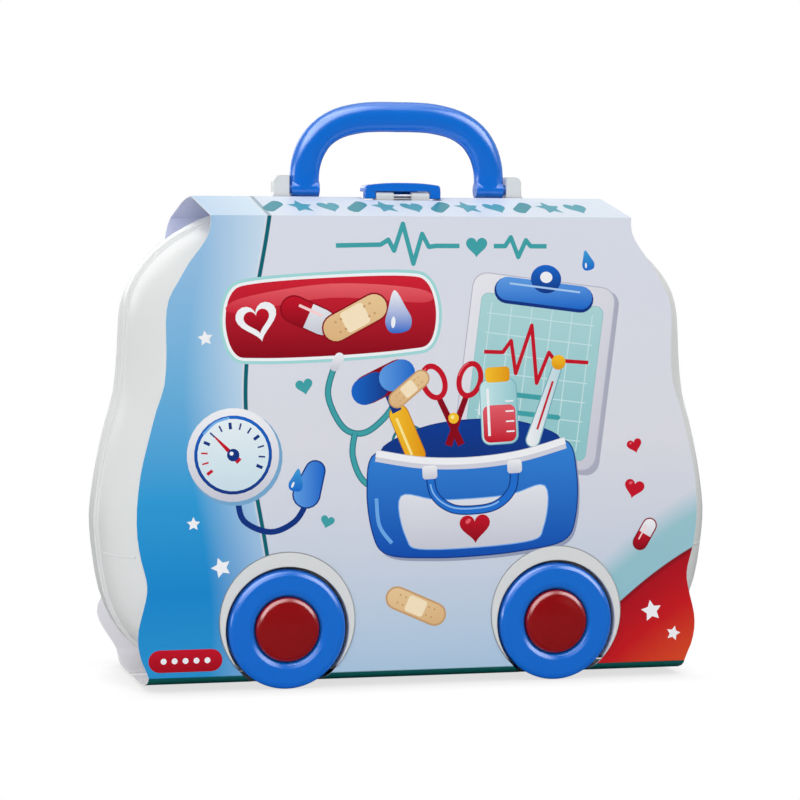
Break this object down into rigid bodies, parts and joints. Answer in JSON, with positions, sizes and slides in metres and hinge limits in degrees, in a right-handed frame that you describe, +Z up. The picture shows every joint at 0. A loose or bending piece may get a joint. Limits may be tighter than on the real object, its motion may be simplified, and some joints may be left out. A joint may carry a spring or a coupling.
{
  "type": "toy doctor case",
  "caption": "Van-shaped plastic toy doctor case on wheels in a card sleeve, with carry handle, latch, hinged lid, insert tray, side trays and toy instruments.",
  "frame": {"origin": "on the ground under the middle of the case, in the plane of the seam", "axes": "+X along the long front face to the right as seen from the front, +Y from the front (lid) to the back (base), +Z up"},
  "size_m": [0.323, 0.11, 0.2969],
  "materials": {
    "white_plastic": "satin moulded",
    "printed_card": "printed and varnished",
    "blue_plastic": "glossy moulded",
    "red_plastic": "glossy moulded",
    "yellow_plastic": "glossy moulded",
    "clear_teal_plastic": "clear tinted",
    "steel": "drawn wire"
  },
  "bodies": {
    "base": {"base_shell": "white_plastic", "base_sleeve": "printed_card", "hinge_pin_left": "steel", "hinge_pin_right": "steel", "insert_tray": "blue_plastic", "floor_card_left": "printed_card", "floor_card_right": "printed_card", "axle_rear_left": "steel", "axle_rear_right": "steel", "syringe_barrel": "clear_teal_plastic", "otoscope_head": "blue_plastic", "otoscope_handle": "yellow_plastic", "hammer_disc": "blue_plastic", "hammer_ring": "red_plastic", "hammer_grip": "yellow_plastic", "play_glasses": "red_plastic", "ear_tip": "red_plastic"},
    "lid": {"lid_shell": "white_plastic", "lid_sleeve": "printed_card", "backdrop_card": "printed_card", "tool_rack": "blue_plastic", "thermometer": "yellow_plastic", "forceps_arm_hung": "red_plastic", "forceps_rivet": "yellow_plastic", "scissors_blade_hung": "red_plastic", "scissors_rivet": "yellow_plastic", "axle_front_left": "steel", "axle_front_right": "steel", "latch_pin": "steel"},
    "latch": {"latch_tab": "blue_plastic"},
    "handle": {"carry_handle": "blue_plastic"},
    "wheel_fl": {"wheel_front_left": "blue_plastic", "hub_cap_front_left": "red_plastic"},
    "wheel_fr": {"wheel_front_right": "blue_plastic", "hub_cap_front_right": "red_plastic"},
    "wheel_rl": {"wheel_rear_left": "blue_plastic", "hub_cap_rear_left": "red_plastic"},
    "wheel_rr": {"wheel_rear_right": "blue_plastic", "hub_cap_rear_right": "red_plastic"},
    "tray_left": {"side_tray_left": "clear_teal_plastic", "mirror_ring": "blue_plastic", "mirror_grip": "yellow_plastic"},
    "tray_right": {"side_tray_right": "clear_teal_plastic"},
    "plunger": {"syringe_plunger": "yellow_plastic"},
    "scissors_free": {"scissors_blade_free": "red_plastic"},
    "forceps_free": {"forceps_arm_free": "red_plastic"}
  },
  "joints": [
    {"name": "lid_open", "type": "hinge", "parent": "base", "child": "lid", "pos_m": [0, 0, 0.0026], "axis": [1, 0, 0], "range_deg": [0, 105]},
    {"name": "latch_flip", "type": "hinge", "parent": "lid", "child": "latch", "pos_m": [0, -0.005, 0.2479], "axis": [1, 0, 0], "range_deg": [0, 90]},
    {"name": "handle_swing", "type": "hinge", "parent": "base", "child": "handle", "pos_m": [0, 0.0055, 0.2514], "axis": [1, 0, 0], "range_deg": [-80, 80]},
    {"name": "wheel_spin_front_left", "type": "hinge", "parent": "lid", "child": "wheel_fl", "pos_m": [-0.0703, -0.0475, 0.0301], "axis": [0, 1, 0], "continuous": true},
    {"name": "wheel_spin_front_right", "type": "hinge", "parent": "lid", "child": "wheel_fr", "pos_m": [0.0703, -0.0475, 0.0301], "axis": [0, 1, 0], "continuous": true},
    {"name": "wheel_spin_rear_left", "type": "hinge", "parent": "base", "child": "wheel_rl", "pos_m": [-0.0703, 0.0475, 0.0301], "axis": [0, 1, 0], "continuous": true},
    {"name": "wheel_spin_rear_right", "type": "hinge", "parent": "base", "child": "wheel_rr", "pos_m": [0.0703, 0.0475, 0.0301], "axis": [0, 1, 0], "continuous": true},
    {"name": "side_tray_left_out", "type": "slide", "parent": "base", "child": "tray_left", "axis": [-1, 0, 0], "range_m": [0, 0.05]},
    {"name": "side_tray_right_out", "type": "slide", "parent": "base", "child": "tray_right", "axis": [1, 0, 0], "range_m": [0, 0.05]},
    {"name": "syringe_push", "type": "slide", "parent": "base", "child": "plunger", "axis": [1, 0, 0], "range_m": [-0.01, 0.016]},
    {"name": "scissors_open", "type": "hinge", "parent": "lid", "child": "scissors_free", "pos_m": [0.076, -0.0407, 0.1188], "axis": [0, -1, 0], "range_deg": [0, 18]},
    {"name": "forceps_open", "type": "hinge", "parent": "lid", "child": "forceps_free", "pos_m": [-0.076, -0.0407, 0.1188], "axis": [0, 1, 0], "range_deg": [0, 18]}
  ]
}
